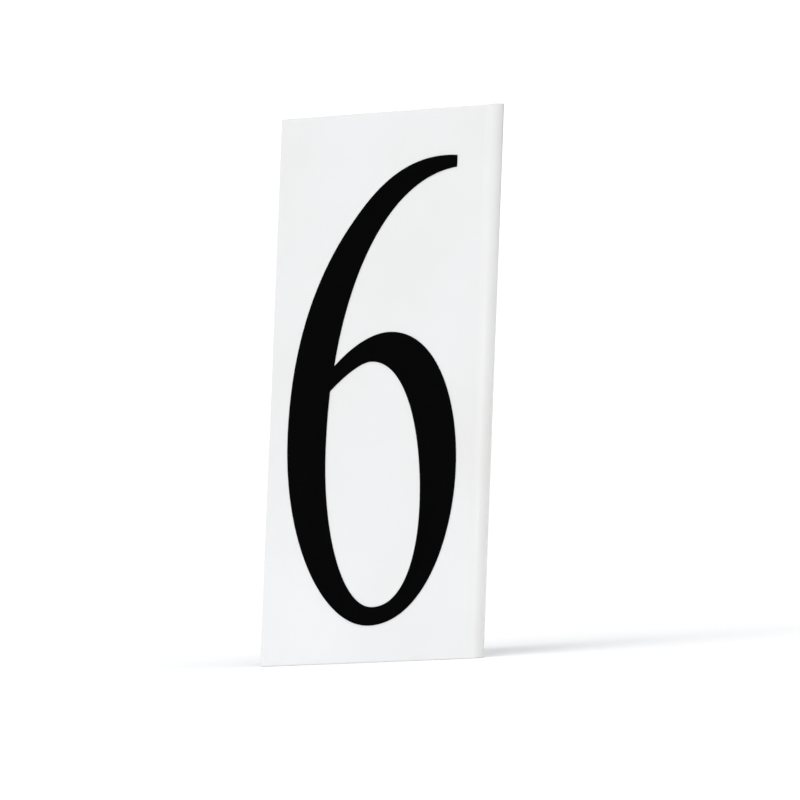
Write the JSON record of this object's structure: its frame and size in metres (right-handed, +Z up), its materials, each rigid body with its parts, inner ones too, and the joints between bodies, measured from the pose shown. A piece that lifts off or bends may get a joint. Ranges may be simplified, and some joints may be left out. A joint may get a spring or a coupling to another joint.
{
  "type": "table number",
  "caption": "Free-standing table number: a white acrylic sheet folded into two leaves that lean back, with a black numeral on the outside of each leaf.",
  "frame": {"origin": "on the table, at the middle of the footprint of the whole standing object", "axes": "+Z up; the front leaf faces -Y and leans back towards +Y; the bend stands at +X"},
  "size_m": [0.099, 0.1174, 0.2068],
  "materials": {
    "white_acrylic": "polished gloss, faintly uneven",
    "black_film": "matte self-adhesive film",
    "clear_adhesive": "thin pressure-sensitive adhesive"
  },
  "bodies": {
    "root": {"folded_panel": "white_acrylic", "front_numeral": "black_film", "front_numeral_adhesive": "clear_adhesive", "rear_numeral": "black_film", "rear_numeral_adhesive": "clear_adhesive"}
  },
  "joints": []
}
